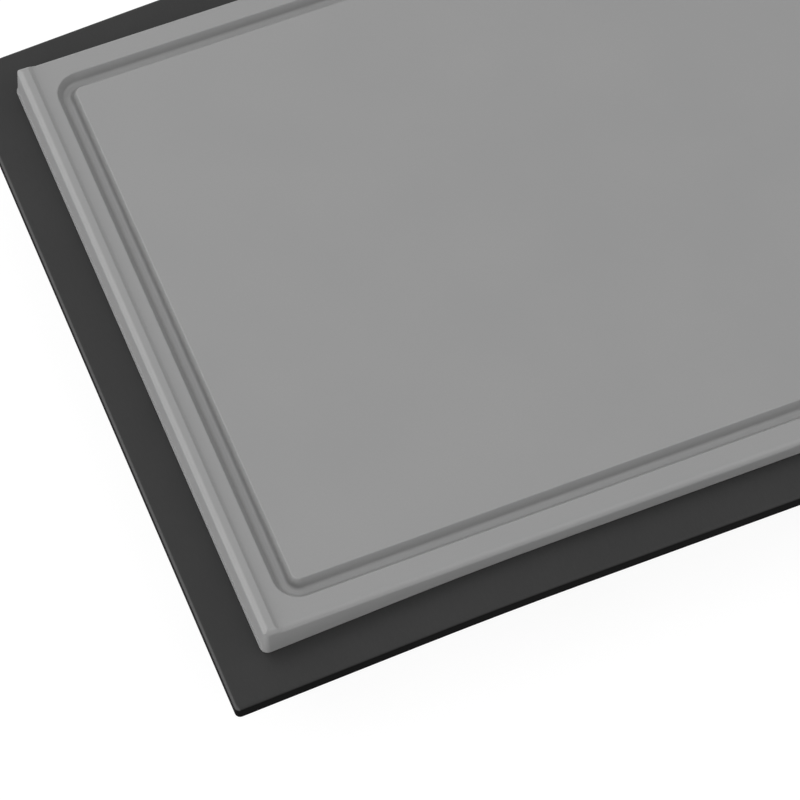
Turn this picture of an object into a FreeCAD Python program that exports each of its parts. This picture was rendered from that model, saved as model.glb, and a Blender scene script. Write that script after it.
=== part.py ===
import FreeCAD, Part
import math
import os

# A cutting board that stands on a low housing with three drawer trays.
# Frame: +X along the length, the trays open towards -Y, +Z up.
# Origin: on the table, under the middle of the deck. Millimetres.

Vector = FreeCAD.Vector
X_AXIS = Vector(1, 0, 0)
Y_AXIS = Vector(0, 1, 0)
Z_AXIS = Vector(0, 0, 1)

# ---------------------------------------------------------------- driving dimensions

# Cutting board
BOARD_LENGTH = 400.0
BOARD_DEPTH = 300.0
BOARD_THICKNESS = 7.5           # over the deck's level middle
BOARD_GAP = 0.3                 # air between board and deck
BOARD_CORNER_RADIUS = 3.0
BOARD_SIDE_SLOPE = 4.0          # degrees that its sides lean in
BOARD_ROUND = 2.5               # top edges all round
LEDGE_HEIGHT = 1.0              # thin ledge round the board's foot
LEDGE_END_REACH = 0.6
LEDGE_FRONT_REACH = 0.1
LEDGE_CORNER_RADIUS = 3.6
LIP_HEIGHT = 1.1                # raised lip along each end
LIP_WIDTH = 6.8
LIP_SLOPE = 1.1
LIP_EDGE_ROUND = 0.8
LIP_FOOT_ROUND = 2.2
GROOVE_END_RIM = 13.5           # rim outside the juice groove, at the ends
GROOVE_FRONT_RIM = 11.8         # and at the front and back
GROOVE_WIDTH = 8.1
GROOVE_DEPTH = 4.5
GROOVE_SLOPE = 2.4              # run of each sloping wall
GROOVE_FLOOR_ROUND = 2.0        # between the floor and the walls
GROOVE_EDGE_ROUND = 0.6         # between the walls and the board's top
GROOVE_OUTER_RADIUS = 11.0      # in plan, at the rim's corners

# Deck
DECK_MARGIN = 18.5              # deck showing round the board
DECK_THICKNESS = 7.0
DECK_LEVEL_LENGTH = 140.0       # level middle, between the two wings that slope down to the ends
DECK_WING_SLOPE = 3.7           # degrees
DECK_BEND_RADIUS = 1100.0       # between the level middle and the wings
DECK_CORNER_RADIUS = 2.4
DECK_TOP_ROUND = 1.4
DECK_UNDER_ROUND = 0.8
FRONT_SETBACK = 32.0            # deck's overhang past the tray fronts
BACK_SETBACK = 20.0
END_SETBACK = 22.0

# Studs that locate and carry the board
STUD_RADIUS = 6.0
STUD_SEAT_DEPTH = 3.0           # sunk into the deck
STUD_PROUD = 5.0                # above the deck
STUD_CHAMFER = 1.0
STUD_CLEARANCE = 0.4            # radial, in the board's sockets
STUD_INSET_X = 35.0             # from the board's edges
STUD_INSET_Y = 35.0

# Housing
BASE_THICKNESS = 4.0
WALL_HEIGHT = 37.7
SIDE_THICKNESS = 8.0
PARTITION_THICKNESS = 7.0
BACK_THICKNESS = 7.0
HOUSING_CORNER_RADIUS = 6.0
TRAY_COUNT = 3

# Runners: channels that hold the trays' flanges
RUNNER_WIDTH = 9.0
RUNNER_WEB = 2.5
RUNNER_LEDGE = 3.0
RUNNER_FRONT_GAP = 1.0
RUNNER_BACK_GAP = 4.0
RUN_CLEARANCE = 0.3             # above and below a flange
SIDE_CLEARANCE = 0.6            # beside a flange and beside a tray
STOP_PIN_RADIUS = 1.3
STOP_PIN_INSET = 8.0            # from the runner's front end
STOP_GAP = 0.3

# Trays
TRAY_TRAVEL = 200.0
TRAY_HEIGHT = 32.0
TRAY_WALL = 2.0
TRAY_FLOOR_GAP = 1.0
TRAY_CORNER_RADIUS = 8.0
TRAY_FOOT_RADIUS = 5.0
FLANGE_THICKNESS = 3.0
FLANGE_NOTCH = 3.4              # flange narrowed here so that it passes the stop pin
BUMPER_RADIUS = 6.0
BUMPER_THICKNESS = 3.0
BUMPER_GAP = 0.3

# Tray fronts and pulls
FRONT_THICKNESS = 6.0
FRONT_GAP = 0.5                 # behind the fronts and between them, each side
FRONT_FLOOR_GAP = 1.0           # fronts start this far above the housing's underside
FRONT_TOP_GAP = 0.5             # and end this far under the top of the walls
FRONT_ROUND = 1.2
PULL_LENGTH = 70.0
PULL_REACH = 12.5
PULL_HEIGHT = 14.0
PULL_STEM = 6.5
PULL_LIP = 3.2
PULL_ROUND = 2.4
PULL_TOP_INSET = 12.0           # from the top of the front
PULL_SCREW_SPACING = 44.0

# Feet
FOOT_RADIUS = 11.0
FOOT_HEIGHT = 4.0
FOOT_ROUND = 0.8
FOOT_INSET_X = 24.0             # from the housing's sides
FOOT_INSET_Y = 26.0

# Screws
TIE_SHANK_RADIUS = 1.8
TIE_HEAD_RADIUS = 3.6
TIE_HEAD_HEIGHT = 2.0
TIE_THREAD = 4.5                # length that bites in the deck
TIE_INSET = 12.0
FOOT_SHANK_RADIUS = 1.8
FOOT_HEAD_RADIUS = 3.8
FOOT_HEAD_HEIGHT = 1.4
FOOT_HEAD_RECESS = 2.2
FOOT_THREAD = 3.2
RUNNER_SHANK_RADIUS = 1.3
RUNNER_HEAD_RADIUS = 2.6
RUNNER_HEAD_HEIGHT = 1.4
RUNNER_THREAD = 3.0
RUNNER_SCREW_PLACES = (0.14, 0.40, 0.86)   # shares of the runner's length
RUNNER_SCREW_STAGGER = 8.0                 # screws on a wall's two sides don't meet
PULL_SHANK_RADIUS = 1.4
PULL_HEAD_RADIUS = 2.8
PULL_HEAD_HEIGHT = 1.6
PULL_THREAD = 8.0
RECESS_WIDTH = 0.8              # cross recess in every screw head
RECESS_DEPTH = 0.9
RECESS_SHARE = 0.62             # of the head's radius
HOLE_CLEARANCE = 0.2            # radial, where a shank passes through
THREAD_CLEARANCE = 0.05         # radial, where a piece is held
TINY = 1e-4

# ---------------------------------------------------------------- derived places

deck_length = BOARD_LENGTH + 2 * DECK_MARGIN
deck_depth = BOARD_DEPTH + 2 * DECK_MARGIN
deck_half_length = deck_length / 2
deck_half_depth = deck_depth / 2

housing_half_length = deck_half_length - END_SETBACK
front_face_y = FRONT_SETBACK - deck_half_depth
front_back_y = front_face_y + FRONT_THICKNESS
housing_front_y = front_back_y + FRONT_GAP
housing_back_y = deck_half_depth - BACK_SETBACK
back_inner_y = housing_back_y - BACK_THICKNESS
side_inner_x = housing_half_length - SIDE_THICKNESS

base_under_z = FOOT_HEIGHT
base_top_z = base_under_z + BASE_THICKNESS
wall_top_z = base_top_z + WALL_HEIGHT

partition_count = TRAY_COUNT - 1
bay_width = (2 * side_inner_x - partition_count * PARTITION_THICKNESS) / TRAY_COUNT
bay_pitch = bay_width + PARTITION_THICKNESS
bay_centres = [bay_pitch * (i - (TRAY_COUNT - 1) / 2) for i in range(TRAY_COUNT)]
partition_centres = [x + bay_pitch / 2 for x in bay_centres[:-1]]
bay_names = ["left", "middle", "right"]

tray_bottom_z = base_top_z + TRAY_FLOOR_GAP
tray_rim_z = tray_bottom_z + TRAY_HEIGHT
flange_under_z = tray_rim_z - FLANGE_THICKNESS
tray_half_width = bay_width / 2 - RUNNER_WIDTH - SIDE_CLEARANCE
flange_half_width = bay_width / 2 - RUNNER_WEB - SIDE_CLEARANCE
bumper_face_y = back_inner_y - BUMPER_THICKNESS
tray_back_y = bumper_face_y - BUMPER_GAP

runner_front_y = housing_front_y + RUNNER_FRONT_GAP
runner_back_y = back_inner_y - RUNNER_BACK_GAP
slot_low_z = flange_under_z - RUN_CLEARANCE
slot_high_z = tray_rim_z + RUN_CLEARANCE
runner_low_z = slot_low_z - RUNNER_LEDGE
runner_high_z = slot_high_z + RUNNER_LEDGE
stop_pin_y = runner_front_y + STOP_PIN_INSET
stop_pin_offset = RUNNER_WEB + (SIDE_CLEARANCE + FLANGE_NOTCH) / 2
shoulder_y = stop_pin_y + STOP_PIN_RADIUS + STOP_GAP + TRAY_TRAVEL

front_low_z = base_under_z + FRONT_FLOOR_GAP
front_high_z = wall_top_z - FRONT_TOP_GAP
pull_top_z = front_high_z - PULL_TOP_INSET
pull_screw_z = pull_top_z - PULL_STEM / 2

# The deck is level in the middle, bends gently, and slopes straight down to its two ends.
wing_angle = math.radians(DECK_WING_SLOPE)
bend_start_x = DECK_LEVEL_LENGTH / 2
bend_end_x = bend_start_x + DECK_BEND_RADIUS * math.sin(wing_angle)


def camber_drop(x):
    """How far the deck lies below its level middle at x."""
    bend = min(max(abs(x) - bend_start_x, 0), bend_end_x - bend_start_x)
    wing = max(abs(x) - bend_end_x, 0)
    return DECK_BEND_RADIUS - math.sqrt(DECK_BEND_RADIUS ** 2 - bend ** 2) + wing * math.tan(wing_angle)


deck_level_z = wall_top_z + camber_drop(housing_half_length) + DECK_THICKNESS


def deck_top_z(x):
    return deck_level_z - camber_drop(x)


def deck_under_z(x):
    return deck_top_z(x) - DECK_THICKNESS


def wall_top_level(x):
    return wall_top_z


def board_under_z(x):
    return deck_top_z(x) + BOARD_GAP


board_half_length = BOARD_LENGTH / 2
board_half_depth = BOARD_DEPTH / 2
board_low_z = deck_top_z(board_half_length)
board_top_z = board_under_z(0) + BOARD_THICKNESS
lip_top_z = board_top_z + LIP_HEIGHT
lip_x = board_half_length - LIP_WIDTH

# Cutting blocks reach past the deck all round.
block_half_length = deck_half_length + DECK_MARGIN
block_half_depth = deck_half_depth + DECK_MARGIN

stud_x = board_half_length - STUD_INSET_X
stud_y = board_half_depth - STUD_INSET_Y
stud_seat_z = deck_top_z(stud_x) - STUD_SEAT_DEPTH
stud_top_z = deck_top_z(stud_x) + STUD_PROUD
stud_places = [(x, y) for x in (-stud_x, stud_x) for y in (-stud_y, stud_y)]

foot_x = housing_half_length - FOOT_INSET_X
foot_front_y = housing_front_y + FOOT_INSET_Y
foot_back_y = housing_back_y - FOOT_INSET_Y
foot_places = {
    "foot_front_left": (-foot_x, foot_front_y),
    "foot_front_right": (foot_x, foot_front_y),
    "foot_back_left": (-foot_x, foot_back_y),
    "foot_back_right": (foot_x, foot_back_y),
}

tie_side_x = housing_half_length - SIDE_THICKNESS / 2
tie_front_y = housing_front_y + TIE_INSET
tie_middle_y = (housing_front_y + housing_back_y) / 2
tie_back_y = back_inner_y - TIE_INSET
tie_top_z = wall_top_z + TIE_THREAD


# ---------------------------------------------------------------- shape helpers

def rounded_wire(corners):
    """Closed wire through (point, radius) corners, with a tangent arc where the radius isn't 0."""
    starts, ends, arcs = [], [], []
    count = len(corners)
    for i, (point, radius) in enumerate(corners):
        back = (corners[i - 1][0] - point).normalize()
        ahead = (corners[(i + 1) % count][0] - point).normalize()
        half_angle = back.getAngle(ahead) / 2
        reach = radius / math.tan(half_angle)
        bisector = (back + ahead).normalize()
        middle = point + bisector * (radius / math.sin(half_angle) - radius)
        starts.append(point + back * reach)
        ends.append(point + ahead * reach)
        arcs.append(Part.Arc(starts[i], middle, ends[i]).toShape() if radius > TINY else None)
    edges = []
    for i in range(count):
        if arcs[i]:
            edges.append(arcs[i])
        run_end = starts[(i + 1) % count]
        if (run_end - ends[i]).Length > TINY:
            edges.append(Part.makeLine(ends[i], run_end))
    return Part.Wire(edges)


def wire_across(axis, low, corners):
    """Wire of (u, v, radius) corners in the plane across an axis: YZ, XZ or XY."""
    to_space = {
        "X": lambda u, v: Vector(low, u, v),
        "Y": lambda u, v: Vector(u, low, v),
        "Z": lambda u, v: Vector(u, v, low),
    }[axis]
    return rounded_wire([(to_space(u, v), radius) for u, v, radius in corners])


def prism(axis, low, high, corners):
    """Solid with the section given by its corners, from low to high along an axis."""
    direction = {"X": X_AXIS, "Y": Y_AXIS, "Z": Z_AXIS}[axis]
    return Part.Face(wire_across(axis, low, corners)).extrude(direction * (high - low))


def rectangle(u_low, u_high, v_low, v_high, radius=0.0):
    """Corners of a rectangle, all with the same radius."""
    places = [(u_low, v_low), (u_high, v_low), (u_high, v_high), (u_low, v_high)]
    return [(u, v, radius) for u, v in places]


def box(x_low, x_high, y_low, y_high, z_low, z_high):
    return prism("Z", z_low, z_high, rectangle(x_low, x_high, y_low, y_high))


def camber_edges(height):
    """Edges from past the deck's left end to past its right end, at z = height(x)."""
    def at(x):
        return Vector(x, -block_half_depth, height(x))

    end_x = block_half_length
    if abs(height(0) - height(end_x)) < TINY:
        return [Part.makeLine(at(-end_x), at(end_x))]
    bend_middle_x = (bend_start_x + bend_end_x) / 2
    return [
        Part.makeLine(at(-end_x), at(-bend_end_x)),
        Part.Arc(at(-bend_end_x), at(-bend_middle_x), at(-bend_start_x)).toShape(),
        Part.makeLine(at(-bend_start_x), at(bend_start_x)),
        Part.Arc(at(bend_start_x), at(bend_middle_x), at(bend_end_x)).toShape(),
        Part.makeLine(at(bend_end_x), at(end_x)),
    ]


def cambered_block(low, high):
    """Block larger than the deck, between two faces that follow z = low(x) and z = high(x)."""
    lower = camber_edges(low)
    upper = camber_edges(high)
    left = Part.makeLine(upper[0].firstVertex().Point, lower[0].firstVertex().Point)
    right = Part.makeLine(lower[-1].lastVertex().Point, upper[-1].lastVertex().Point)
    outline = Part.Wire(Part.__sortEdges__([left, right] + lower + upper))
    return Part.Face(outline).extrude(Y_AXIS * (2 * block_half_depth))


def raised(height, rise):
    """The surface z = height(x), moved up."""
    return lambda x: height(x) + rise


def filleted(shape, radius, chosen):
    """The shape with the chosen edges rounded."""
    return shape.makeFillet(radius, [edge for edge in shape.Edges if chosen(edge)])


def rim_on(height):
    """Test for edges of the deck's outline that lie on the surface z = height(x)."""
    def chosen(edge):
        crosses = edge.BoundBox.XLength < TINY and edge.BoundBox.XMax < board_half_length
        inside = crosses and edge.BoundBox.XMin > -board_half_length
        return not inside and all(abs(v.Z - height(v.X)) < TINY for v in edge.Vertexes)

    return chosen


def hole(radius, start, direction, length):
    return Part.makeCylinder(radius, length, start, direction)


def cross_recess(head_radius):
    """Cutter for a cross recess that opens at z = 0 and goes up."""
    arm = head_radius * RECESS_SHARE
    half = RECESS_WIDTH / 2
    bar = box(-arm, arm, -half, half, 0, RECESS_DEPTH)
    other = box(-half, half, -arm, arm, 0, RECESS_DEPTH)
    return bar.fuse(other)


def countersunk_screw(head_radius, head_height, shank_radius, length, start, direction):
    """Screw whose flat head lies at start, with its point along direction."""
    head = Part.makeCone(head_radius, shank_radius, head_height)
    shank = Part.makeCylinder(shank_radius, length)
    return turned(head.fuse(shank).cut(cross_recess(head_radius)), start, direction)


def pan_screw(head_radius, head_height, shank_radius, length, start, direction):
    """Screw whose head is seated at start, with its point along direction."""
    head = Part.makeCylinder(head_radius, head_height)
    head = filleted(head, head_height / 2, lambda edge: edge.BoundBox.ZMax < TINY)
    head = head.cut(cross_recess(head_radius))
    shank = Part.makeCylinder(shank_radius, length, Vector(0, 0, head_height))
    return turned(head.fuse(shank), start - direction * head_height, direction)


def countersink(head_radius, head_height, shank_radius, start, direction):
    """Cutter that a countersunk head fits with its clearance."""
    return Part.makeCone(
        head_radius + THREAD_CLEARANCE, shank_radius + THREAD_CLEARANCE, head_height, start, direction
    )


def turned(shape, start, direction):
    """The shape moved to start, with its +Z turned along direction."""
    placed = shape.copy()
    placed.Placement = FreeCAD.Placement(start, FreeCAD.Rotation(Z_AXIS, direction))
    return placed


# ---------------------------------------------------------------- board and deck

def lean_in(z):
    """How far the board's sides have come in at z."""
    return (z - board_low_z) * math.tan(math.radians(BOARD_SIDE_SLOPE))


def board_outline(end_inset, front_inset, radius):
    """Block with the board's outline and leaning sides, from under the board to over it."""
    wires = []
    for z in (board_low_z - LEDGE_HEIGHT, lip_top_z + LEDGE_HEIGHT):
        half_x = board_half_length - end_inset - lean_in(z)
        half_y = board_half_depth - front_inset - lean_in(z)
        corners = rectangle(-half_x, half_x, -half_y, half_y, radius - lean_in(z))
        wires.append(wire_across("Z", z, corners))
    return Part.makeLoft(wires, True, True)


def board_end_section():
    """XZ section of the board's upper body, with the lips and the round ends."""
    outer_x = board_half_length - LEDGE_END_REACH
    right = [
        (outer_x, board_low_z, 0),
        (outer_x - lean_in(lip_top_z), lip_top_z, BOARD_ROUND),
        (lip_x, lip_top_z, LIP_EDGE_ROUND),
        (lip_x - LIP_SLOPE, board_top_z, LIP_FOOT_ROUND),
    ]
    left = [(-x, z, radius) for x, z, radius in reversed(right)]
    return prism("Y", -board_half_depth, board_half_depth, right + left)


def board_side_section(x, top_z):
    """YZ section of the board's upper body at x, with its rounded front and back."""
    outer_y = board_half_depth - LEDGE_FRONT_REACH
    low_z = board_low_z - LEDGE_HEIGHT
    right = [(outer_y - lean_in(low_z), low_z, 0), (outer_y - lean_in(top_z), top_z, BOARD_ROUND)]
    left = [(-y, z, radius) for y, z, radius in reversed(right)]
    return wire_across("X", x, right + left)


def board_sides():
    """Body with the rounded front and back edges, which rise over the lips at both ends."""
    rise_x = lip_x - LIP_SLOPE - LIP_FOOT_ROUND
    right = [(rise_x, board_top_z), (lip_x, lip_top_z), (board_half_length, lip_top_z)]
    left = [(-x, top_z) for x, top_z in reversed(right)]
    return Part.makeLoft([board_side_section(x, top_z) for x, top_z in left + right], True, True)


def juice_groove():
    """Ring that runs round the board, with sloping walls, a flat floor and round corners between them."""
    half = GROOVE_WIDTH / 2
    half_x = board_half_length - GROOVE_END_RIM - half
    half_y = board_half_depth - GROOVE_FRONT_RIM - half
    plan_radius = GROOVE_OUTER_RADIUS - half
    path = wire_across("Z", board_top_z, rectangle(-half_x, half_x, -half_y, half_y, plan_radius))
    start = path.OrderedVertexes[0].Point
    flare = half + LIP_HEIGHT * GROOVE_SLOPE / GROOVE_DEPTH
    floor_half = half - GROOVE_SLOPE
    floor_z = board_top_z - GROOVE_DEPTH
    section = wire_across("Y", start.y, [
        (start.x - flare, lip_top_z, 0),
        (start.x - floor_half, floor_z, GROOVE_FLOOR_ROUND),
        (start.x + floor_half, floor_z, GROOVE_FLOOR_ROUND),
        (start.x + flare, lip_top_z, 0),
    ])
    return path.makePipeShell([section], True, False)


def on_groove_edge(edge):
    """Test for the edges where the juice groove meets the board's top."""
    bounds = edge.BoundBox
    reach_x = board_half_length - GROOVE_END_RIM + TINY
    reach_y = board_half_depth - GROOVE_FRONT_RIM + TINY
    level = abs(bounds.ZMin - board_top_z) < TINY and abs(bounds.ZMax - board_top_z) < TINY
    return level and max(-bounds.XMin, bounds.XMax) < reach_x and max(-bounds.YMin, bounds.YMax) < reach_y


def cutting_board():
    ledge_top_z = raised(board_under_z, LEDGE_HEIGHT)
    upper = board_end_section().common(board_sides())
    upper = upper.common(board_outline(LEDGE_END_REACH, LEDGE_FRONT_REACH, BOARD_CORNER_RADIUS))
    upper = upper.common(cambered_block(board_under_z, raised(board_under_z, lip_top_z)))
    ledge = board_outline(0, 0, LEDGE_CORNER_RADIUS).common(cambered_block(board_under_z, ledge_top_z))
    board = upper.fuse(ledge).cut(juice_groove())
    board = filleted(board, GROOVE_EDGE_ROUND, on_groove_edge)
    for x, y in stud_places:
        start = Vector(x, y, board_low_z)
        board = board.cut(hole(STUD_RADIUS + STUD_CLEARANCE, start, Z_AXIS, stud_top_z - board_low_z))
    return board.removeSplitter()


def board_studs():
    """Four studs, seated in the deck and reaching into the board's sockets."""
    studs = []
    for x, y in stud_places:
        stud = Part.makeCylinder(STUD_RADIUS, stud_top_z - stud_seat_z, Vector(x, y, stud_seat_z))
        top_edge = [edge for edge in stud.Edges if edge.BoundBox.ZMin > stud_top_z - TINY]
        studs.append(stud.makeChamfer(STUD_CHAMFER, top_edge))
    return Part.Compound(studs)


def housing_frame(z_low, z_high):
    """Ring over the side and back walls, with a rail as thick as the back wall at the front."""
    front_inner_y = housing_front_y + BACK_THICKNESS
    inner = box(-side_inner_x, side_inner_x, front_inner_y, back_inner_y, z_low, z_high)
    return housing_outline(z_low, z_high).cut(inner)


def housing_outline(z_low, z_high):
    """Block over the whole housing, with round corners at the back."""
    corners = [
        (-housing_half_length, housing_front_y, 0),
        (housing_half_length, housing_front_y, 0),
        (housing_half_length, housing_back_y, HOUSING_CORNER_RADIUS),
        (-housing_half_length, housing_back_y, HOUSING_CORNER_RADIUS),
    ]
    return prism("Z", z_low, z_high, corners)


def deck_plate():
    """Cambered plate with a skirt and two ribs below that land on the housing's walls."""
    low_z = deck_under_z(deck_half_length) - DECK_THICKNESS
    high_z = deck_top_z(0) + DECK_THICKNESS
    outline = rectangle(
        -deck_half_length, deck_half_length, -deck_half_depth, deck_half_depth, DECK_CORNER_RADIUS
    )
    slab = prism("Z", low_z, high_z, outline).common(cambered_block(deck_under_z, deck_top_z)).Solids[0]
    slab = filleted(slab, DECK_TOP_ROUND, rim_on(deck_top_z))
    slab = filleted(slab, DECK_UNDER_ROUND, rim_on(deck_under_z))
    skirt = housing_frame(wall_top_z, high_z)
    for x in partition_centres:
        half = PARTITION_THICKNESS / 2
        skirt = skirt.fuse(box(x - half, x + half, housing_front_y, back_inner_y, wall_top_z, high_z))
    skirt = skirt.common(cambered_block(wall_top_level, raised(deck_under_z, DECK_THICKNESS / 2)))
    deck = slab.fuse(skirt)
    for x, y in tie_places():
        start = Vector(x, y, base_under_z)
        deck = deck.cut(hole(TIE_SHANK_RADIUS + THREAD_CLEARANCE, start, Z_AXIS, tie_top_z - base_under_z))
    for x, y in stud_places:
        seat = Vector(x, y, stud_seat_z)
        deck = deck.cut(hole(STUD_RADIUS + THREAD_CLEARANCE, seat, Z_AXIS, high_z - stud_seat_z))
    return deck.removeSplitter()


# ---------------------------------------------------------------- housing

def tie_places():
    """Screws that clamp base, walls and deck together."""
    places = [(x, y) for x in (-tie_side_x, tie_side_x) for y in (tie_front_y, tie_middle_y, tie_back_y)]
    places += [(x, y) for x in partition_centres for y in (tie_front_y, tie_back_y)]
    places += [(x, back_inner_y + BACK_THICKNESS / 2) for x in (bay_centres[0], bay_centres[-1])]
    return places


def tie_screws():
    length = tie_top_z - base_under_z
    screws = []
    for x, y in tie_places():
        start = Vector(x, y, base_under_z)
        screws.append(
            countersunk_screw(TIE_HEAD_RADIUS, TIE_HEAD_HEIGHT, TIE_SHANK_RADIUS, length, start, Z_AXIS)
        )
    return Part.Compound(screws)


def drilled_for_ties(piece):
    """The piece with a clearance hole for every tie screw that crosses it."""
    for x, y in tie_places():
        start = Vector(x, y, base_under_z)
        piece = piece.cut(hole(TIE_SHANK_RADIUS + HOLE_CLEARANCE, start, Z_AXIS, tie_top_z - base_under_z))
    return piece


def base_panel():
    panel = drilled_for_ties(housing_outline(base_under_z, base_top_z))
    for x, y in tie_places():
        start = Vector(x, y, base_under_z)
        panel = panel.cut(countersink(TIE_HEAD_RADIUS, TIE_HEAD_HEIGHT, TIE_SHANK_RADIUS, start, Z_AXIS))
    for x, y in foot_places.values():
        start = Vector(x, y, base_under_z)
        panel = panel.cut(hole(FOOT_SHANK_RADIUS + THREAD_CLEARANCE, start, Z_AXIS, FOOT_THREAD))
    return panel


def side_panel(side):
    """Side wall: side is -1 for the left one and +1 for the right one."""
    whole = housing_outline(base_top_z, wall_top_z)
    x_low, x_high = sorted((side * side_inner_x, side * housing_half_length))
    panel = whole.common(box(x_low, x_high, housing_front_y, housing_back_y, base_top_z, wall_top_z))
    return drilled_for_runners(drilled_for_ties(panel))


def partition(x):
    half = PARTITION_THICKNESS / 2
    panel = box(x - half, x + half, housing_front_y, back_inner_y, base_top_z, wall_top_z)
    return drilled_for_runners(drilled_for_ties(panel))


def back_panel():
    panel = box(-side_inner_x, side_inner_x, back_inner_y, housing_back_y, base_top_z, wall_top_z)
    return drilled_for_ties(panel)


def foot(x, y):
    """Rubber foot with a recess below that hides its screw's head."""
    body = Part.makeCylinder(FOOT_RADIUS, FOOT_HEIGHT, Vector(x, y, 0))
    body = filleted(body, FOOT_ROUND, lambda edge: edge.BoundBox.ZMax < TINY)
    body = body.cut(hole(FOOT_SHANK_RADIUS + HOLE_CLEARANCE, Vector(x, y, 0), Z_AXIS, FOOT_HEIGHT))
    return body.cut(hole(FOOT_HEAD_RADIUS + HOLE_CLEARANCE, Vector(x, y, 0), Z_AXIS, FOOT_HEAD_RECESS))


def foot_screws():
    length = FOOT_HEIGHT - FOOT_HEAD_RECESS + FOOT_THREAD
    screws = []
    for x, y in foot_places.values():
        seat = Vector(x, y, FOOT_HEAD_RECESS)
        screws.append(pan_screw(FOOT_HEAD_RADIUS, FOOT_HEAD_HEIGHT, FOOT_SHANK_RADIUS, length, seat, Z_AXIS))
    return Part.Compound(screws)


def tray_bumpers():
    z = (tray_bottom_z + tray_rim_z) / 2
    return Part.Compound([
        Part.makeCylinder(BUMPER_RADIUS, BUMPER_THICKNESS, Vector(x, bumper_face_y, z), Y_AXIS)
        for x in bay_centres
    ])


# ---------------------------------------------------------------- runners

def runner_walls():
    """Name, wall face x and facing (+1 towards +X) of each runner."""
    walls = {}
    for name, centre in zip(bay_names, bay_centres):
        walls["tray_" + name + "_runner_left"] = (centre - bay_width / 2, 1)
        walls["tray_" + name + "_runner_right"] = (centre + bay_width / 2, -1)
    return walls


def runner_screw_places(wall_x, facing):
    """Points on the wall's face: the stagger depends on which way the runner faces."""
    length = runner_back_y - runner_front_y
    z = (slot_low_z + slot_high_z) / 2
    return [
        Vector(wall_x, runner_front_y + share * length + facing * RUNNER_SCREW_STAGGER, z)
        for share in RUNNER_SCREW_PLACES
    ]


def drilled_for_runners(piece):
    """The piece with a thread hole for every runner screw that bites in it."""
    for wall_x, facing in runner_walls().values():
        for point in runner_screw_places(wall_x, facing):
            thread = hole(RUNNER_SHANK_RADIUS + THREAD_CLEARANCE, point, X_AXIS * -facing, RUNNER_THREAD)
            piece = piece.cut(thread)
    return piece


def runner(wall_x, facing):
    """Channel along Y, open away from its wall, with its stop pin's holes."""
    lower_ledge = [(0, runner_low_z), (RUNNER_WIDTH, runner_low_z), (RUNNER_WIDTH, slot_low_z)]
    web = [(RUNNER_WEB, slot_low_z), (RUNNER_WEB, slot_high_z)]
    upper_ledge = [(RUNNER_WIDTH, slot_high_z), (RUNNER_WIDTH, runner_high_z), (0, runner_high_z)]
    section = lower_ledge + web + upper_ledge
    corners = [(wall_x + facing * u, z, 0) for u, z in section]
    channel = prism("Y", runner_front_y, runner_back_y, corners)
    for point in runner_screw_places(wall_x, facing):
        head = point + X_AXIS * (facing * RUNNER_WEB)
        inwards = X_AXIS * -facing
        channel = channel.cut(hole(RUNNER_SHANK_RADIUS + HOLE_CLEARANCE, head, inwards, RUNNER_WEB))
        seat = countersink(RUNNER_HEAD_RADIUS, RUNNER_HEAD_HEIGHT, RUNNER_SHANK_RADIUS, head, inwards)
        channel = channel.cut(seat)
    foot = Vector(wall_x + facing * stop_pin_offset, stop_pin_y, runner_low_z)
    pin_hole = hole(STOP_PIN_RADIUS + THREAD_CLEARANCE, foot, Z_AXIS, runner_high_z - runner_low_z)
    return channel.cut(pin_hole)


def runner_screws():
    length = RUNNER_WEB + RUNNER_THREAD
    screws = []
    for wall_x, facing in runner_walls().values():
        for point in runner_screw_places(wall_x, facing):
            head = point + X_AXIS * (facing * RUNNER_WEB)
            screws.append(countersunk_screw(
                RUNNER_HEAD_RADIUS, RUNNER_HEAD_HEIGHT, RUNNER_SHANK_RADIUS, length, head, X_AXIS * -facing
            ))
    return Part.Compound(screws)


def stop_pins():
    """Upright pins across the runners' front ends: a flange's shoulder meets its pin at full travel."""
    return Part.Compound([
        Part.makeCylinder(
            STOP_PIN_RADIUS, runner_high_z - runner_low_z,
            Vector(wall_x + facing * stop_pin_offset, stop_pin_y, runner_low_z)
        )
        for wall_x, facing in runner_walls().values()
    ])


# ---------------------------------------------------------------- trays

def pull_screw_places(centre):
    half = PULL_SCREW_SPACING / 2
    return [Vector(x, front_back_y + TRAY_WALL, pull_screw_z) for x in (centre - half, centre + half)]


def rounded_tub(centre, inset, floor_z, top_z):
    """Block with round upright corners and a round foot, inset from the tray's outer faces."""
    half = tray_half_width - inset
    corners = rectangle(
        centre - half, centre + half, front_back_y + inset, tray_back_y - inset, TRAY_CORNER_RADIUS - inset
    )
    tub = prism("Z", floor_z, top_z, corners)
    return filleted(tub, TRAY_FOOT_RADIUS - inset, lambda edge: edge.BoundBox.ZMax < floor_z + TINY)


def tray(centre):
    """Open bin whose side flanges run in the channels."""
    body = rounded_tub(centre, 0, tray_bottom_z, tray_rim_z)
    for facing in (-1, 1):
        inner = centre + facing * (tray_half_width - TRAY_WALL)
        narrow = centre + facing * (flange_half_width - FLANGE_NOTCH)
        wide = centre + facing * flange_half_width
        rail = box(*sorted((inner, narrow)), front_back_y, tray_back_y, flange_under_z, tray_rim_z)
        shoulder = box(*sorted((inner, wide)), shoulder_y, tray_back_y, flange_under_z, tray_rim_z)
        body = body.fuse(rail).fuse(shoulder)
    body = body.cut(rounded_tub(centre, TRAY_WALL, tray_bottom_z + TRAY_WALL, tray_rim_z))
    for point in pull_screw_places(centre):
        body = body.cut(hole(PULL_SHANK_RADIUS + HOLE_CLEARANCE, point, -Y_AXIS, TRAY_WALL))
    return body.removeSplitter()


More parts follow.
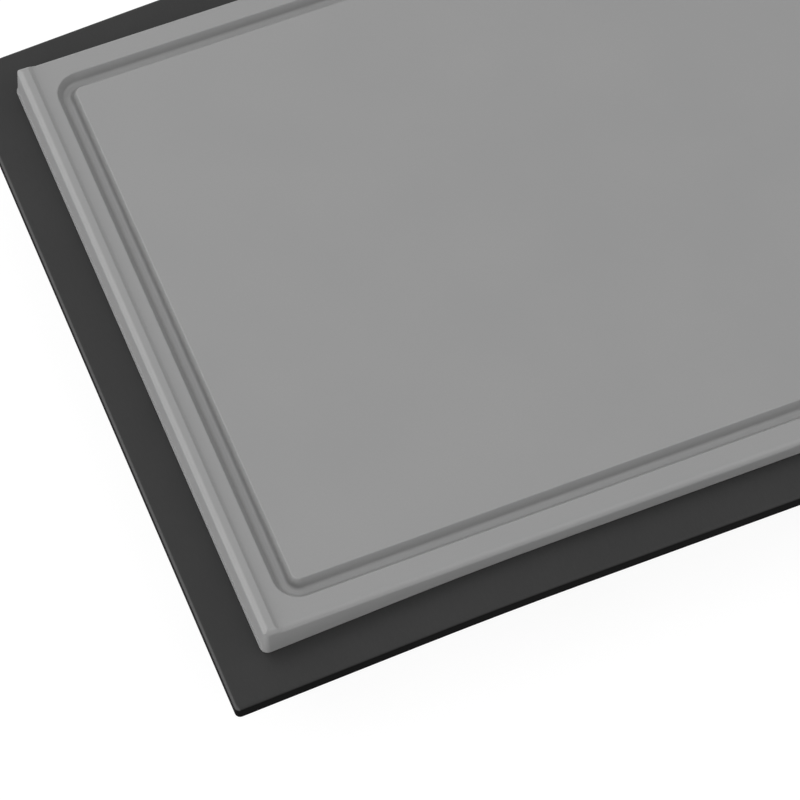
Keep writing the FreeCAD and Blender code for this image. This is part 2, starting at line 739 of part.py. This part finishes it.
def front_edges(bay):
    """X limits of a tray's front: half-way over each partition, and flush with the housing's side."""
    low = partition_centres[bay - 1] + FRONT_GAP if bay > 0 else -housing_half_length
    high = partition_centres[bay] - FRONT_GAP if bay < TRAY_COUNT - 1 else housing_half_length
    return low, high


def tray_front(bay):
    low, high = front_edges(bay)
    plate = box(low, high, front_face_y, front_back_y, front_low_z, front_high_z)
    plate = filleted(plate, FRONT_ROUND, lambda edge: edge.BoundBox.YMax < front_face_y + TINY)
    for point in pull_screw_places(bay_centres[bay]):
        start = Vector(point.x, front_back_y, point.z)
        plate = plate.cut(hole(PULL_SHANK_RADIUS + HOLE_CLEARANCE, start, -Y_AXIS, FRONT_THICKNESS))
    return plate


def tray_pull(centre):
    """Finger pull: a stem off the front, with a lip turned down at its outer end."""
    outer_y = front_face_y - PULL_REACH
    low_z = pull_top_z - PULL_HEIGHT
    stem_z = pull_top_z - PULL_STEM
    lip_y = outer_y + PULL_LIP
    tip = PULL_LIP / 3
    section = [
        (front_face_y, pull_top_z, 0), (outer_y, pull_top_z, PULL_ROUND),
        (outer_y, low_z, tip), (lip_y, low_z, tip), (lip_y, stem_z, tip), (front_face_y, stem_z, 0),
    ]
    half = PULL_LENGTH / 2
    pull = prism("X", centre - half, centre + half, section)
    plan = [
        (centre - half, outer_y, PULL_ROUND), (centre + half, outer_y, PULL_ROUND),
        (centre + half, front_face_y, 0), (centre - half, front_face_y, 0),
    ]
    pull = pull.common(prism("Z", low_z, pull_top_z, plan))
    for point in pull_screw_places(centre):
        start = Vector(point.x, front_face_y, point.z)
        pull = pull.cut(hole(PULL_SHANK_RADIUS + THREAD_CLEARANCE, start, -Y_AXIS, PULL_THREAD))
    return pull


def pull_screws(centre):
    """Screws from inside the tray, through its wall and front, into the pull."""
    length = TRAY_WALL + FRONT_THICKNESS + PULL_THREAD
    return Part.Compound([
        pan_screw(PULL_HEAD_RADIUS, PULL_HEAD_HEIGHT, PULL_SHANK_RADIUS, length, point, -Y_AXIS)
        for point in pull_screw_places(centre)
    ])


# ---------------------------------------------------------------- assembly

def all_nodes():
    nodes = {
        "cutting_board": cutting_board(),
        "board_studs": board_studs(),
        "deck_plate": deck_plate(),
        "base_panel": base_panel(),
        "side_panel_left": side_panel(-1),
        "side_panel_right": side_panel(1),
        "back_panel": back_panel(),
        "tie_screws": tie_screws(),
        "foot_screws": foot_screws(),
        "tray_bumpers": tray_bumpers(),
        "runner_screws": runner_screws(),
        "runner_stop_pins": stop_pins(),
    }
    for name, x in zip(("partition_left", "partition_right"), partition_centres):
        nodes[name] = partition(x)
    for name, (x, y) in foot_places.items():
        nodes[name] = foot(x, y)
    for name, (wall_x, facing) in runner_walls().items():
        nodes[name] = runner(wall_x, facing)
    for bay, name in enumerate(bay_names):
        nodes["tray_" + name] = tray(bay_centres[bay])
        nodes["tray_front_" + name] = tray_front(bay)
        nodes["tray_pull_" + name] = tray_pull(bay_centres[bay])
        nodes["pull_screws_" + name] = pull_screws(bay_centres[bay])
    return nodes


os.makedirs("parts", exist_ok=True)
for node, shape in all_nodes().items():
    shape.exportStep("parts/" + node + ".step")
    print(node, len(shape.Solids), "solids", round(shape.Volume / 1000, 2), "cm3", "valid", shape.isValid())
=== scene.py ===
"""Looks, light and camera for the cutting board with drawer trays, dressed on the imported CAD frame."""

import math

import bpy
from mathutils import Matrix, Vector

# Camera: seen from the front left and from high up, with a long lens.
CAMERA_AZIMUTH = math.radians(-22.232)
CAMERA_ELEVATION = math.radians(59.015)
CAMERA_DISTANCE = 1.5604
CAMERA_TARGET = Vector((-0.107539, -0.068236, 0.066383))
CAMERA_LENS = 171.0
SENSOR_WIDTH = 36.0
CAMERA_REACH = 20.0

# Light: an even sky, a broad fill from the front right, soft light from behind at two heights, and two low
# lamps at the left that reflections don't show, because level faces would mirror them as a glare.
WHITE = (1.0, 1.0, 1.0, 1.0)
SKY_LEVEL = 0.40
LAMPS = {                       # energy, angular size, azimuth clockwise from the back, elevation
    "key": (0.26, 30.0, -45.0, 37.0),
    "fill": (0.86, 60.0, 120.0, 52.0),
    "back": (0.42, 60.0, -22.0, 37.0),
    "high": (0.42, 60.0, -22.0, 62.0),
    "low_left": (1.82, 30.0, -90.0, 8.0),
    "low_front": (0.92, 30.0, -135.0, 12.0),
}
LAMPS_WITHOUT_GLARE = ("low_left", "low_front")

# Floor: pale, and close to white where the camera or a reflection sees it.
FLOOR_HALF = 4.0
FLOOR_COLOUR = (0.92, 0.92, 0.92, 1.0)
FLOOR_SEEN = 0.84               # how much of what is seen of the floor is its plain pale tone
FLOOR_TONE = 1.08

# Nodes: the places of a Mix node's colour sockets, and the rays that the edge finder sends.
MIX_FIRST, MIX_SECOND, MIX_RESULT = 6, 7, 2
BEVEL_RAYS = 6

# Moulded plastic: the radius that its edges look rounded by, and the size of its colour clouds.
MOULDED_EDGE = 0.0003
CLOUD_SIZE = 0.05


# ---------------------------------------------------------------- nodes

class Surface:
    """One procedural material: a Principled shader and the nodes that feed it."""

    def __init__(self, name, **constants):
        self.material = bpy.data.materials.new(name)
        self.material.use_nodes = True
        self.tree = self.material.node_tree
        self.shader = self.tree.nodes["Principled BSDF"]
        self.place = self.add("ShaderNodeTexCoord").outputs["Object"]
        for socket, value in constants.items():
            self.shader.inputs[socket.replace("_", " ")].default_value = value

    def add(self, kind, **settings):
        node = self.tree.nodes.new(kind)
        for name, value in settings.items():
            setattr(node, name, value)
        return node

    def wire(self, source, socket):
        """Link source to the socket, or set the socket to it where it's a value."""
        if hasattr(source, "is_output"):
            self.tree.links.new(source, socket)
        else:
            socket.default_value = source

    def noise(self, size, detail=2.0, stretch=(1.0, 1.0, 1.0)):
        """Noise whose grain is about size metres across, longer where stretch is larger."""
        mapping = self.add("ShaderNodeMapping")
        mapping.inputs["Scale"].default_value = [1.0 / (size * s) for s in stretch]
        texture = self.add("ShaderNodeTexNoise")
        texture.inputs["Scale"].default_value = 1.0
        texture.inputs["Detail"].default_value = detail
        self.wire(self.place, mapping.inputs["Vector"])
        self.wire(mapping.outputs["Vector"], texture.inputs["Vector"])
        return texture.outputs["Fac"]

    def maths(self, operation, a, b=0.0, clamp=False):
        node = self.add("ShaderNodeMath", operation=operation, use_clamp=clamp)
        self.wire(a, node.inputs[0])
        self.wire(b, node.inputs[1])
        return node.outputs[0]

    def between(self, share, low, high, start=0.3, end=0.7):
        """A number that goes from low to high as share goes from start to end."""
        node = self.add("ShaderNodeMapRange")
        for socket, value in zip(node.inputs, (share, start, end, low, high)):
            self.wire(value, socket)
        return node.outputs[0]

    def share(self, source, most=1.0, start=0.3, end=0.7):
        """A number that goes from 0 to most as source goes from start to end."""
        return self.between(source, 0.0, most, start, end)

    def mixed(self, share, first, second):
        """The first colour where share is 0, and the second where it is 1."""
        node = self.add("ShaderNodeMix", data_type="RGBA")
        self.wire(share, node.inputs["Factor"])
        self.wire(first, node.inputs[MIX_FIRST])
        self.wire(second, node.inputs[MIX_SECOND])
        return node.outputs[MIX_RESULT]

    def rounded(self, radius):
        """The normal, rounded over the edges."""
        node = self.add("ShaderNodeBevel", samples=BEVEL_RAYS)
        node.inputs["Radius"].default_value = radius
        return node.outputs["Normal"]

    def edges(self, radius, gain):
        """(share that is 1 on the edges, normal rounded over the edges)."""
        normal = self.rounded(radius)
        flat = self.add("ShaderNodeNewGeometry").outputs["Normal"]
        dot = self.add("ShaderNodeVectorMath", operation="DOT_PRODUCT")
        self.wire(normal, dot.inputs[0])
        self.wire(flat, dot.inputs[1])
        off = self.maths("SUBTRACT", 1.0, dot.outputs["Value"])
        return self.maths("MULTIPLY", off, gain, clamp=True), normal

    def bumped(self, height, depth, normal):
        """The normal given, on a surface whose height swings by depth metres."""
        node = self.add("ShaderNodeBump")
        node.inputs["Strength"].default_value = 1.0
        node.inputs["Distance"].default_value = depth
        self.wire(height, node.inputs["Height"])
        self.wire(normal, node.inputs["Normal"])
        return node.outputs["Normal"]

    def finish(self, colour, roughness, normal):
        self.wire(colour, self.shader.inputs["Base Color"])
        self.wire(roughness, self.shader.inputs["Roughness"])
        self.wire(normal, self.shader.inputs["Normal"])
        return self.material


def grey(level, warmth=0.0):
    """A grey of that level, with a little more red and less blue where warmth is above 0."""
    return (level * (1 + warmth), level, level * (1 - warmth), 1.0)


# ---------------------------------------------------------------- materials

def moulded(name, level, warmth, roughness, specular, grain, depth, worn):
    """Moulded plastic: cloudy colour, fine pebbled grain, edges rubbed smooth and a little lighter."""
    s = Surface(name, Specular_IOR_Level=specular)
    edge, normal = s.edges(radius=MOULDED_EDGE, gain=2.5)
    clouds = s.noise(CLOUD_SIZE, detail=3.0)
    specks = s.noise(grain * 2.0, detail=1.0)
    colour = s.mixed(s.share(clouds), grey(level * 0.975, warmth), grey(level * 1.02, -warmth))
    colour = s.mixed(s.share(specks, most=0.5), colour, grey(level * 0.96, warmth))
    colour = s.mixed(s.maths("MULTIPLY", edge, worn), colour, grey(level * 1.35, warmth))
    rough = s.between(s.noise(CLOUD_SIZE / 4, detail=4.0), low=roughness - 0.02, high=roughness + 0.03)
    rough = s.maths("SUBTRACT", rough, s.maths("MULTIPLY", edge, 0.08))
    return s.finish(colour, rough, s.bumped(s.noise(grain, detail=1.0), depth, normal))


def laminate(name, face, dark_core_and_shade, roughness, specular):
    """Charcoal compact board: a satin face with a fine grain and a blacker core where its edges are cut,
    whose near-black also paints in the shade of its upright faces; the round edges of its two ends get a
    painted highlight, coloured paler."""
    s = Surface(name, Specular_IOR_Level=specular)
    facing = s.add("ShaderNodeSeparateXYZ")
    s.wire(s.tree.nodes["Texture Coordinate"].outputs["Normal"], facing.inputs["Vector"])
    # Upright faces take a near-black colour: a cut core, whose darkness also paints in the shade of the unlit
    # upright edges (partly painted shade).
    core_and_painted_shade = s.between(s.maths("ABSOLUTE", facing.outputs["Z"]), low=1.0, high=0.0, start=0.25, end=0.75)
    at_ends = s.share(s.maths("ABSOLUTE", facing.outputs["X"]), start=0.2, end=0.45)
    # Painted highlight: the rounded edges at both ends are coloured paler, as if lit.
    painted_end_highlight = s.maths("MULTIPLY", at_ends, s.share(facing.outputs["Z"], start=0.15, end=0.4))
    clouds = s.noise(size=0.07, detail=4.0)
    fibres = s.noise(size=0.0006, detail=2.0, stretch=(1.0, 6.0, 1.0))
    colour = s.mixed(s.share(clouds), grey(face * 0.93), grey(face * 1.07))
    colour = s.mixed(s.share(fibres, most=0.35), colour, grey(face * 0.8))
    colour = s.mixed(core_and_painted_shade, colour, grey(dark_core_and_shade))
    colour = s.mixed(painted_end_highlight, colour, grey(face * 2.1))
    rough = s.between(s.noise(size=0.012, detail=4.0), low=roughness - 0.05, high=roughness + 0.05)
    rough = s.between(core_and_painted_shade, low=rough, high=1.0, start=0.0, end=1.0)
    grain = s.noise(size=0.0004, detail=1.0)
    return s.finish(colour, rough, s.bumped(grain, depth=0.000006, normal=s.rounded(radius=0.0003)))


def steel(name):
    """Plain screw steel, a little stained, bright on its edges."""
    s = Surface(name, Metallic=1.0)
    edge, normal = s.edges(radius=0.00015, gain=2.0)
    stains = s.noise(size=0.002, detail=4.0)
    colour = s.mixed(s.share(stains), grey(0.50, 0.01), grey(0.62, -0.01))
    colour = s.mixed(edge, colour, grey(0.72))
    rough = s.between(s.noise(size=0.0006, detail=3.0), low=0.26, high=0.42)
    return s.finish(colour, rough, s.bumped(s.noise(size=0.0002), depth=0.000004, normal=normal))


def brushed(name):
    """Aluminium brushed along the pull's length."""
    s = Surface(name, Metallic=1.0, Anisotropic=0.4)
    edge, normal = s.edges(radius=0.0002, gain=2.0)
    lines = s.noise(size=0.0003, detail=3.0, stretch=(90.0, 1.0, 1.0))
    colour = s.mixed(s.share(lines), grey(0.30), grey(0.46))
    colour = s.mixed(s.share(s.noise(size=0.03), most=0.3), colour, grey(0.33, 0.01))
    colour = s.mixed(edge, colour, grey(0.62))
    rough = s.between(lines, low=0.24, high=0.40)
    return s.finish(colour, rough, s.bumped(lines, depth=0.000012, normal=normal))


def rubber(name):
    """Black rubber, dusty in patches."""
    s = Surface(name, Specular_IOR_Level=0.25)
    edge, normal = s.edges(radius=0.0003, gain=2.0)
    dust = s.noise(size=0.004, detail=5.0)
    colour = s.mixed(s.share(dust, start=0.45, end=0.75), grey(0.006), grey(0.014, 0.03))
    colour = s.mixed(s.maths("MULTIPLY", edge, 0.5), colour, grey(0.03))
    rough = s.between(s.noise(size=0.001, detail=3.0), low=0.68, high=0.85)
    return s.finish(colour, rough, s.bumped(s.noise(size=0.0003), depth=0.00002, normal=normal))


def runner(name):
    """Natural bearing plastic, polished in lines where the trays slide."""
    s = Surface(name, Specular_IOR_Level=0.4)
    edge, normal = s.edges(radius=0.0002, gain=2.0)
    lines = s.noise(size=0.0004, detail=3.0, stretch=(1.0, 120.0, 1.0))
    colour = s.mixed(s.share(s.noise(size=0.02)), grey(0.52, 0.02), grey(0.57, 0.015))
    colour = s.mixed(s.share(lines, most=0.4), colour, grey(0.45, 0.02))
    colour = s.mixed(s.maths("MULTIPLY", edge, 0.4), colour, grey(0.66, 0.01))
    rough = s.between(lines, low=0.3, high=0.5)
    return s.finish(colour, rough, s.bumped(lines, depth=0.00001, normal=normal))


def finishes():
    """Each material slot of the record and the procedural material that dresses it."""
    return {
        "board_plastic": moulded(
            "board_finish", level=0.250, warmth=-0.002, roughness=0.34, specular=0.5,
            grain=0.00035, depth=0.000006, worn=0.1),
        # deck: its near-black upright faces are partly painted shade, and its end edges carry a painted
        # highlight
        "deck_plastic": laminate("deck_finish", face=0.0315, dark_core_and_shade=0.0015, roughness=0.42, specular=0.12),
        "housing_plastic": moulded(
            "housing_finish", level=0.026, warmth=0.0, roughness=0.55, specular=0.2,
            grain=0.0005, depth=0.00003, worn=0.3),
        "runner_plastic": runner("runner_finish"),
        "steel": steel("steel_finish"),
        "rubber": rubber("rubber_finish"),
        "tray_plastic": moulded(
            "tray_finish", level=0.38, warmth=0.004, roughness=0.5, specular=0.35,
            grain=0.0006, depth=0.00003, worn=0.15),
        "front_plastic": moulded(
            "front_finish", level=0.034, warmth=0.0, roughness=0.48, specular=0.22,
            grain=0.0005, depth=0.00002, worn=0.3),
        "pull_metal": brushed("pull_finish"),
    }


def dress(nodes):
    made = finishes()
    for node in nodes.values():
        for place in node.material_slots:
            place.material = made[place.material.name]


# ---------------------------------------------------------------- stage

def seen_share(tree):
    """1 for a camera, glossy or transmission ray, and 0 for the rays that carry light."""
    path = tree.nodes.new("ShaderNodeLightPath")
    total = path.outputs["Is Camera Ray"]
    for name in ("Is Glossy Ray", "Is Transmission Ray"):
        more = tree.nodes.new("ShaderNodeMath")
        more.operation = "MAXIMUM"
        tree.links.new(total, more.inputs[0])
        tree.links.new(path.outputs[name], more.inputs[1])
        total = more.outputs[0]
    return total


def make_sky():
    world = bpy.data.worlds.new("sky")
    bpy.context.scene.world = world
    world.use_nodes = True
    tree = world.node_tree
    tree.nodes.clear()
    lit = tree.nodes.new("ShaderNodeBackground")
    lit.inputs["Color"].default_value = WHITE
    lit.inputs["Strength"].default_value = SKY_LEVEL
    seen = tree.nodes.new("ShaderNodeBackground")
    seen.inputs["Color"].default_value = WHITE
    mix = tree.nodes.new("ShaderNodeMixShader")
    tree.links.new(seen_share(tree), mix.inputs["Fac"])
    tree.links.new(lit.outputs[0], mix.inputs[1])
    tree.links.new(seen.outputs[0], mix.inputs[2])
    out = tree.nodes.new("ShaderNodeOutputWorld")
    tree.links.new(mix.outputs[0], out.inputs["Surface"])


def make_lamps():
    for name, (energy, size, azimuth, elevation) in LAMPS.items():
        sun = bpy.data.lights.new(name, "SUN")
        sun.energy = energy
        sun.angle = math.radians(size)
        lamp = bpy.data.objects.new(name, sun)
        lamp.visible_glossy = name not in LAMPS_WITHOUT_GLARE
        around, height = math.radians(azimuth), math.radians(elevation)
        source = Vector((
            math.sin(around) * math.cos(height),
            math.cos(around) * math.cos(height),
            math.sin(height),
        ))
        lamp.rotation_euler = source.to_track_quat("Z", "Y").to_euler()
        bpy.context.scene.collection.objects.link(lamp)


def make_floor():
    mesh = bpy.data.meshes.new("floor")
    corners = [(x, y, 0.0) for x, y in ((-1, -1), (1, -1), (1, 1), (-1, 1))]
    mesh.from_pydata([[FLOOR_HALF * c for c in corner] for corner in corners], [], [(0, 1, 2, 3)])
    floor = bpy.data.objects.new("floor", mesh)
    bpy.context.scene.collection.objects.link(floor)
    material = bpy.data.materials.new("floor")
    material.use_nodes = True
    tree = material.node_tree
    tree.nodes.clear()
    matt = tree.nodes.new("ShaderNodeBsdfDiffuse")
    matt.inputs["Color"].default_value = FLOOR_COLOUR
    pale = tree.nodes.new("ShaderNodeEmission")
    pale.inputs["Strength"].default_value = FLOOR_TONE
    share = tree.nodes.new("ShaderNodeMath")
    share.operation = "MULTIPLY"
    share.inputs[1].default_value = FLOOR_SEEN
    tree.links.new(seen_share(tree), share.inputs[0])
    both = tree.nodes.new("ShaderNodeMixShader")
    tree.links.new(share.outputs[0], both.inputs["Fac"])
    tree.links.new(matt.outputs[0], both.inputs[1])
    tree.links.new(pale.outputs[0], both.inputs[2])
    out = tree.nodes.new("ShaderNodeOutputMaterial")
    tree.links.new(both.outputs[0], out.inputs["Surface"])
    mesh.materials.append(material)


def make_camera():
    lens = bpy.data.cameras.new("camera")
    lens.sensor_width = SENSOR_WIDTH
    lens.lens = CAMERA_LENS
    lens.clip_end = CAMERA_REACH
    camera = bpy.data.objects.new("camera", lens)
    level = math.cos(CAMERA_ELEVATION)
    back = Vector((
        math.sin(CAMERA_AZIMUTH) * level,
        -math.cos(CAMERA_AZIMUTH) * level,
        math.sin(CAMERA_ELEVATION),
    ))
    camera.location = CAMERA_TARGET + CAMERA_DISTANCE * back
    camera.rotation_euler = back.to_track_quat("Z", "Y").to_euler()
    bpy.context.scene.collection.objects.link(camera)
    bpy.context.scene.camera = camera


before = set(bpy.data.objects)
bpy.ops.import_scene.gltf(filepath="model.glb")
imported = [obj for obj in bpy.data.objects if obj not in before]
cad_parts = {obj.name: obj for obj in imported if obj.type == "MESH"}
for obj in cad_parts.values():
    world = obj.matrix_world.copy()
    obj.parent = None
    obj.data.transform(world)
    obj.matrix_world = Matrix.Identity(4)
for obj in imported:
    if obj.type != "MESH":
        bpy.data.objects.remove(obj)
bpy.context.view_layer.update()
dress(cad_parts)
make_sky()
make_lamps()
make_floor()
make_camera()
bpy.context.scene.view_settings.view_transform = "Standard"
